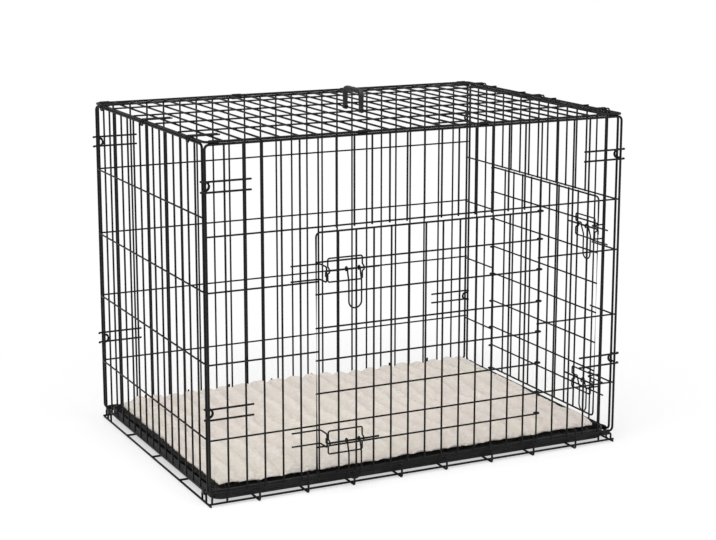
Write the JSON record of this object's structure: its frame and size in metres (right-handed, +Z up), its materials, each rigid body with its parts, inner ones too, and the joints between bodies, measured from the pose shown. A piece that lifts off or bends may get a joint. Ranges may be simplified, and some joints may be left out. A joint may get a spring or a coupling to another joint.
{
  "type": "folding dog crate",
  "caption": "Folding wire dog crate with a front door and an end door, slide-bolt latches, a hinged lid, a carrying handle, a plastic tray and a fleece pad.",
  "frame": {"origin": "middle of the bounding box on the ground, under the floor's lowest wires", "axes": "+Z up, X along the long front with the end door at +X, -Y towards the front door"},
  "size_m": [1.089, 0.7736, 0.8533],
  "materials": {
    "black_wire": "satin black electro-coat on round steel wire",
    "black_plastic": "fine-textured black moulding",
    "fleece": "cream curly fleece"
  },
  "bodies": {
    "base": {"floor_grid": "black_wire", "back_floor_sleeve_1": "black_wire", "back_floor_sleeve_2": "black_wire", "front_floor_sleeve_1": "black_wire", "front_floor_sleeve_2": "black_wire", "left_floor_sleeve_1": "black_wire", "left_floor_sleeve_2": "black_wire", "right_floor_sleeve_1": "black_wire", "right_floor_sleeve_2": "black_wire"},
    "tray": {"tray": "black_plastic"},
    "pad": {"fleece_pad": "fleece"},
    "front_wall": {"front_panel": "black_wire", "front_upper_latch_staple": "black_wire", "front_lower_latch_staple": "black_wire"},
    "back_wall": {"back_panel": "black_wire", "back_lid_sleeve_1": "black_wire", "back_lid_sleeve_2": "black_wire", "back_lid_sleeve_3": "black_wire", "back_lid_sleeve_4": "black_wire"},
    "left_wall": {"left_end_panel": "black_wire", "left_back_lower_hook": "black_wire", "left_back_upper_hook": "black_wire", "left_front_lower_hook": "black_wire", "left_front_upper_hook": "black_wire"},
    "right_wall": {"right_end_panel": "black_wire", "right_back_lower_hook": "black_wire", "right_back_upper_hook": "black_wire", "right_front_lower_hook": "black_wire", "right_front_upper_hook": "black_wire", "end_upper_latch_staple": "black_wire", "end_lower_latch_staple": "black_wire"},
    "lid": {"top_panel": "black_wire", "front_lid_clip_1": "black_wire", "front_lid_clip_2": "black_wire", "front_lid_clip_3": "black_wire", "front_lid_clip_4": "black_wire", "left_lid_hook_1": "black_wire", "left_lid_hook_2": "black_wire", "left_lid_hook_3": "black_wire", "right_lid_hook_1": "black_wire", "right_lid_hook_2": "black_wire", "right_lid_hook_3": "black_wire"},
    "handle": {"carry_handle": "black_plastic"},
    "front_door": {"front_door": "black_wire", "front_upper_latch_plate": "black_wire", "front_lower_latch_plate": "black_wire"},
    "front_upper_bolt": {"front_upper_latch_bolt": "black_wire"},
    "front_upper_pull": {"front_upper_latch_pull": "black_wire"},
    "front_lower_bolt": {"front_lower_latch_bolt": "black_wire"},
    "front_lower_pull": {"front_lower_latch_pull": "black_wire"},
    "end_door": {"end_door": "black_wire", "end_upper_latch_plate": "black_wire", "end_lower_latch_plate": "black_wire"},
    "end_upper_bolt": {"end_upper_latch_bolt": "black_wire"},
    "end_upper_pull": {"end_upper_latch_pull": "black_wire"},
    "end_lower_bolt": {"end_lower_latch_bolt": "black_wire"},
    "end_lower_pull": {"end_lower_latch_pull": "black_wire"}
  },
  "joints": [
    {"name": "left_end_fold", "type": "hinge", "parent": "base", "child": "left_wall", "pos_m": [-0.53303, 0.0087, 0.028], "axis": [0, -1, 0], "range_deg": [-35, 0], "deforming": ["fleece_pad"]},
    {"name": "right_end_fold", "type": "hinge", "parent": "base", "child": "right_wall", "pos_m": [0.51193, 0.0087, 0.028], "axis": [0, 1, 0], "range_deg": [-15, 0], "deforming": ["fleece_pad"]},
    {"name": "front_fold", "type": "hinge", "parent": "base", "child": "front_wall", "pos_m": [-0.01055, -0.35422, 0.028], "axis": [-1, 0, 0], "range_deg": [-9, 0]},
    {"name": "back_fold", "type": "hinge", "parent": "base", "child": "back_wall", "pos_m": [-0.01055, 0.37162, 0.028], "axis": [1, 0, 0], "range_deg": [-90, 0]},
    {"name": "lid_open", "type": "hinge", "parent": "back_wall", "child": "lid", "pos_m": [-0.01055, 0.37162, 0.80134], "axis": [1, 0, 0], "range_deg": [-90, 0]},
    {"name": "front_door_swing", "type": "hinge", "parent": "front_wall", "child": "front_door", "pos_m": [0.29423, -0.35422, 0.313], "axis": [0, 0, 1], "range_deg": [0, 115]},
    {"name": "end_door_swing", "type": "hinge", "parent": "right_wall", "child": "end_door", "pos_m": [0.51193, 0.2264, 0.313], "axis": [0, 0, 1], "range_deg": [0, 115]},
    {"name": "tray_lift", "type": "slide", "parent": "base", "child": "tray", "axis": [0, 0, 1], "range_m": [0, 0.12]},
    {"name": "pad_lift", "type": "slide", "parent": "tray", "child": "pad", "axis": [0, 0, 1], "range_m": [0, 0.1]},
    {"name": "handle_swing", "type": "hinge", "parent": "lid", "child": "handle", "pos_m": [-0.01055, 0.0087, 0.80134], "axis": [0, 1, 0], "range_deg": [-60, 60]},
    {"name": "front_upper_bolt_slide", "type": "slide", "parent": "front_door", "child": "front_upper_bolt", "axis": [1, 0, 0], "range_m": [-0.02, 0.002]},
    {"name": "front_upper_pull_swing", "type": "hinge", "parent": "front_upper_bolt", "child": "front_upper_pull", "pos_m": [-0.19779, -0.37208, 0.5035], "axis": [-1, 0, 0], "range_deg": [0, 85]},
    {"name": "front_lower_bolt_slide", "type": "slide", "parent": "front_door", "child": "front_lower_bolt", "axis": [1, 0, 0], "range_m": [-0.02, 0.002]},
    {"name": "front_lower_pull_swing", "type": "hinge", "parent": "front_lower_bolt", "child": "front_lower_pull", "pos_m": [-0.19779, -0.37208, 0.1113], "axis": [-1, 0, 0], "range_deg": [0, 85]},
    {"name": "end_upper_bolt_slide", "type": "slide", "parent": "end_door", "child": "end_upper_bolt", "axis": [0, 1, 0], "range_m": [-0.02, 0.002]},
    {"name": "end_upper_pull_swing", "type": "hinge", "parent": "end_upper_bolt", "child": "end_upper_pull", "pos_m": [0.52979, -0.17854, 0.5035], "axis": [0, -1, 0], "range_deg": [0, 85]},
    {"name": "end_lower_bolt_slide", "type": "slide", "parent": "end_door", "child": "end_lower_bolt", "axis": [0, 1, 0], "range_m": [-0.02, 0.002]},
    {"name": "end_lower_pull_swing", "type": "hinge", "parent": "end_lower_bolt", "child": "end_lower_pull", "pos_m": [0.52979, -0.17854, 0.1113], "axis": [0, -1, 0], "range_deg": [0, 85]}
  ]
}
